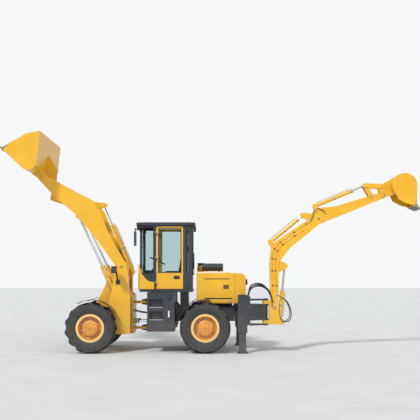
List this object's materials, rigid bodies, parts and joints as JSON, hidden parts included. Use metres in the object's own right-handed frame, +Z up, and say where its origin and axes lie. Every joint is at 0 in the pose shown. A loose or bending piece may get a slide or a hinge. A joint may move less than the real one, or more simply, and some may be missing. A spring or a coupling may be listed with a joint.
{
  "type": "backhoe loader",
  "caption": "Articulated wheel loader with a raised bucket on lift arms, a centre pivot, a closed cab, and a side-shifting backhoe and stabilizer legs at the rear.",
  "frame": {"origin": "centre of the bounding box, on the ground under the wheels", "axes": "+X forward (loader bucket), +Y to the left, +Z up"},
  "size_m": [8.8842, 2.2, 4.6643],
  "materials": {
    "black": "semi-gloss charcoal enamel",
    "glass": "clear",
    "iron": "painted cast iron",
    "steel": "hard chrome",
    "tyre": "matt rubber",
    "yellow": "semi-gloss yellow enamel"
  },
  "bodies": {
    "rear_frame": {"rear_frame": "black", "pivot_forks": "black", "stabilizer_beam": "black", "rear_axle": "yellow", "engine": "iron", "hood": "yellow", "air_intake": "black", "cab_shell": "black", "cab_roof": "black", "cab_floor": "black", "cab_cowl": "yellow", "cab_glass": "glass", "cab_interior": "black", "cab_mirrors": "black", "work_lamps": "black", "tanks_and_steps": "black", "rear_fenders": "black"},
    "door_left": {"door_left": "yellow", "door_glass_left": "glass"},
    "door_right": {"door_right": "yellow", "door_glass_right": "glass"},
    "front_frame": {"front_frame": "yellow", "arm_towers": "yellow", "front_axle": "yellow", "front_fenders": "black"},
    "wheel_front_left": {"tyre_front_left": "tyre", "rim_front_left": "yellow"},
    "wheel_front_right": {"tyre_front_right": "tyre", "rim_front_right": "yellow"},
    "wheel_rear_left": {"tyre_rear_left": "tyre", "rim_rear_left": "yellow"},
    "wheel_rear_right": {"tyre_rear_right": "tyre", "rim_rear_right": "yellow"},
    "steering_barrel_left": {"steering_barrel_left": "black"},
    "steering_barrel_right": {"steering_barrel_right": "black"},
    "steering_rod_left": {"steering_rod_left": "steel"},
    "steering_rod_right": {"steering_rod_right": "steel"},
    "loader_arms": {"loader_arms": "yellow"},
    "loader_rocker": {"loader_rocker": "yellow"},
    "loader_link": {"loader_link": "yellow"},
    "loader_bucket": {"loader_bucket": "yellow"},
    "lift_barrels": {"lift_barrels": "yellow"},
    "lift_rods": {"lift_rods": "steel"},
    "tilt_barrel": {"tilt_barrel": "yellow"},
    "tilt_rod": {"tilt_rod": "steel"},
    "stabilizer_leg_left": {"stabilizer_leg_left": "black"},
    "stabilizer_leg_right": {"stabilizer_leg_right": "black"},
    "carriage": {"side_shift_carriage": "black"},
    "swing_post": {"swing_post": "yellow"},
    "boom": {"boom": "yellow"},
    "boom_barrel": {"boom_barrel": "yellow"},
    "boom_rod": {"boom_rod": "steel"},
    "stick": {"stick": "yellow"},
    "stick_barrel": {"stick_barrel": "yellow"},
    "stick_rod": {"stick_rod": "steel"},
    "digging_bucket": {"digging_bucket": "yellow"},
    "digging_rocker": {"digging_rocker": "yellow"},
    "digging_link": {"digging_link": "yellow"},
    "digging_barrel": {"digging_barrel": "yellow"},
    "digging_rod": {"digging_rod": "steel"}
  },
  "joints": [
    {"name": "rear_wheel_left", "type": "hinge", "parent": "rear_frame", "child": "wheel_rear_left", "pos_m": [0.088, 0.795, 0.5375], "axis": [0, 1, 0], "continuous": true},
    {"name": "rear_wheel_right", "type": "hinge", "parent": "rear_frame", "child": "wheel_rear_right", "pos_m": [0.088, -0.795, 0.5375], "axis": [0, 1, 0], "continuous": true},
    {"name": "steering", "type": "hinge", "parent": "rear_frame", "child": "front_frame", "pos_m": [1.413, 0, 1.06], "axis": [0, 0, 1], "range_deg": [-35, 35]},
    {"name": "front_wheel_left", "type": "hinge", "parent": "front_frame", "child": "wheel_front_left", "pos_m": [2.513, 0.795, 0.5375], "axis": [0, 1, 0], "continuous": true},
    {"name": "front_wheel_right", "type": "hinge", "parent": "front_frame", "child": "wheel_front_right", "pos_m": [2.513, -0.795, 0.5375], "axis": [0, 1, 0], "continuous": true},
    {"name": "steering_barrel_turn_left", "type": "hinge", "parent": "rear_frame", "child": "steering_barrel_left", "pos_m": [1.028, 0.25, 0.64], "axis": [0, 0, 1], "range_deg": [-16, 16]},
    {"name": "steering_rod_slide_left", "type": "slide", "parent": "steering_barrel_left", "child": "steering_rod_left", "axis": [0.9931, -0.1174, 0], "range_m": [-0.125, 0.125]},
    {"name": "steering_barrel_turn_right", "type": "hinge", "parent": "rear_frame", "child": "steering_barrel_right", "pos_m": [1.028, -0.25, 0.64], "axis": [0, 0, 1], "range_deg": [-16, 16]},
    {"name": "steering_rod_slide_right", "type": "slide", "parent": "steering_barrel_right", "child": "steering_rod_right", "axis": [0.9931, 0.1174, 0], "range_m": [-0.125, 0.125]},
    {"name": "door_open_left", "type": "hinge", "parent": "rear_frame", "child": "door_left", "pos_m": [1.143, 0.622, 2], "axis": [0, 0, -1], "range_deg": [0, 80]},
    {"name": "door_open_right", "type": "hinge", "parent": "rear_frame", "child": "door_right", "pos_m": [1.143, -0.622, 2], "axis": [0, 0, 1], "range_deg": [0, 80]},
    {"name": "loader_lift", "type": "hinge", "parent": "front_frame", "child": "loader_arms", "pos_m": [1.898, 0, 1.84], "axis": [0, 1, 0], "range_deg": [-2, 83]},
    {"name": "lift_barrel_turn", "type": "hinge", "parent": "front_frame", "child": "lift_barrels", "pos_m": [1.808, 0, 0.76], "axis": [0, 1, 0], "range_deg": [-3, 60]},
    {"name": "lift_rod_slide", "type": "slide", "parent": "lift_barrels", "child": "lift_rods", "axis": [0.4279, 0, 0.9038], "range_m": [-1.02, 0.04]},
    {"name": "tilt_barrel_turn", "type": "hinge", "parent": "front_frame", "child": "tilt_barrel", "pos_m": [1.70934, 0, 1.72682], "axis": [0, 1, 0], "range_deg": [-4, 80]},
    {"name": "loader_tilt", "type": "hinge", "parent": "loader_arms", "child": "loader_bucket", "pos_m": [3.63761, 0, 3.78975], "axis": [0, -1, 0], "range_deg": [-83, 42]},
    {"name": "tilt_rod_slide", "type": "slide", "parent": "tilt_barrel", "child": "tilt_rod", "axis": [0.3875, 0, 0.9219], "range_m": [-0.18, 0.1]},
    {"name": "rocker_turn", "type": "hinge", "parent": "loader_arms", "child": "loader_rocker", "pos_m": [2.89561, 0, 3.21346], "axis": [0, -1, 0], "range_deg": [-12, 22]},
    {"name": "link_turn", "type": "hinge", "parent": "loader_rocker", "child": "loader_link", "pos_m": [3.47888, 0, 3.35414], "axis": [0, -1, 0], "range_deg": [-60, 32]},
    {"name": "stabilizer_left", "type": "slide", "parent": "rear_frame", "child": "stabilizer_leg_left", "axis": [0, 0, 1], "range_m": [-0.15, 0.35]},
    {"name": "stabilizer_right", "type": "slide", "parent": "rear_frame", "child": "stabilizer_leg_right", "axis": [0, 0, 1], "range_m": [-0.15, 0.35]},
    {"name": "side_shift", "type": "slide", "parent": "rear_frame", "child": "carriage", "axis": [0, 1, 0], "range_m": [-1.4, 0]},
    {"name": "swing", "type": "hinge", "parent": "carriage", "child": "swing_post", "pos_m": [-1.192, 0.7, 0.87], "axis": [0, 0, 1], "range_deg": [-75, 75]},
    {"name": "boom_turn", "type": "hinge", "parent": "swing_post", "child": "boom", "pos_m": [-1.382, 0.7, 0.96], "axis": [0, -1, 0], "range_deg": [-3, 108]},
    {"name": "boom_barrel_turn", "type": "hinge", "parent": "swing_post", "child": "boom_barrel", "pos_m": [-1.502, 0.7, 0.705], "axis": [0, -1, 0], "range_deg": [-4, 106]},
    {"name": "boom_rod_slide", "type": "slide", "parent": "boom_barrel", "child": "boom_rod", "axis": [-0.0913, 0, 0.9958], "range_m": [-0.45, 0.02]},
    {"name": "stick_turn", "type": "hinge", "parent": "boom", "child": "stick", "pos_m": [-2.322, 0.7, 2.86], "axis": [0, 1, 0], "range_deg": [-110, 3]},
    {"name": "stick_barrel_turn", "type": "hinge", "parent": "boom", "child": "stick_barrel", "pos_m": [-1.30636, 0.7, 2.36464], "axis": [0, 1, 0], "range_deg": [-8, 2]},
    {"name": "stick_rod_slide", "type": "slide", "parent": "stick_barrel", "child": "stick_rod", "axis": [-0.77, 0, 0.6381], "range_m": [-0.03, 0.61]},
    {"name": "digging_turn", "type": "hinge", "parent": "stick", "child": "digging_bucket", "pos_m": [-3.71274, 0.7, 3.36619], "axis": [0, 1, 0], "range_deg": [-95, 30]},
    {"name": "digging_barrel_turn", "type": "hinge", "parent": "stick", "child": "digging_barrel", "pos_m": [-2.25614, 0.7, 3.12868], "axis": [0, 1, 0], "range_deg": [-6, 3]},
    {"name": "digging_rod_slide", "type": "slide", "parent": "digging_barrel", "child": "digging_rod", "axis": [-0.924, 0, 0.3823], "range_m": [-0.11, 0.32]},
    {"name": "digging_rocker_turn", "type": "hinge", "parent": "stick", "child": "digging_rocker", "pos_m": [-3.43825, 0.7, 3.33971], "axis": [0, 1, 0], "range_deg": [-75, 25]},
    {"name": "digging_link_turn", "type": "hinge", "parent": "digging_rocker", "child": "digging_link", "pos_m": [-3.30317, 0.7, 3.56187], "axis": [0, 1, 0], "range_deg": [-20, 60]}
  ],
  "couplings": [
    {"joint": "steering_barrel_turn_left", "follows": "steering", "ratio": 0.25487},
    {"joint": "steering_rod_slide_left", "follows": "steering", "m_per_rad": -0.19966},
    {"joint": "steering_barrel_turn_right", "follows": "steering", "ratio": 0.25487},
    {"joint": "steering_rod_slide_right", "follows": "steering", "m_per_rad": 0.19966},
    {"joint": "lift_barrel_turn", "follows": "loader_lift", "ratio": 0.61542},
    {"joint": "lift_rod_slide", "follows": "loader_lift", "m_per_rad": -0.69035},
    {"joint": "tilt_barrel_turn", "follows": "loader_lift", "ratio": 0.8731},
    {"joint": "tilt_rod_slide", "follows": "loader_tilt", "m_per_rad": 0.11482},
    {"joint": "rocker_turn", "follows": "loader_tilt", "ratio": -0.25},
    {"joint": "link_turn", "follows": "loader_tilt", "ratio": 0.67},
    {"joint": "boom_barrel_turn", "follows": "boom_turn", "ratio": 0.91809},
    {"joint": "boom_rod_slide", "follows": "boom_turn", "m_per_rad": -0.22882},
    {"joint": "stick_barrel_turn", "follows": "stick_turn", "ratio": 0.0278},
    {"joint": "stick_rod_slide", "follows": "stick_turn", "m_per_rad": -0.30504},
    {"joint": "digging_barrel_turn", "follows": "digging_turn", "ratio": 0.03891},
    {"joint": "digging_rod_slide", "follows": "digging_turn", "m_per_rad": -0.18354},
    {"joint": "digging_rocker_turn", "follows": "digging_turn", "ratio": 0.75},
    {"joint": "digging_link_turn", "follows": "digging_turn", "ratio": -0.6}
  ]
}
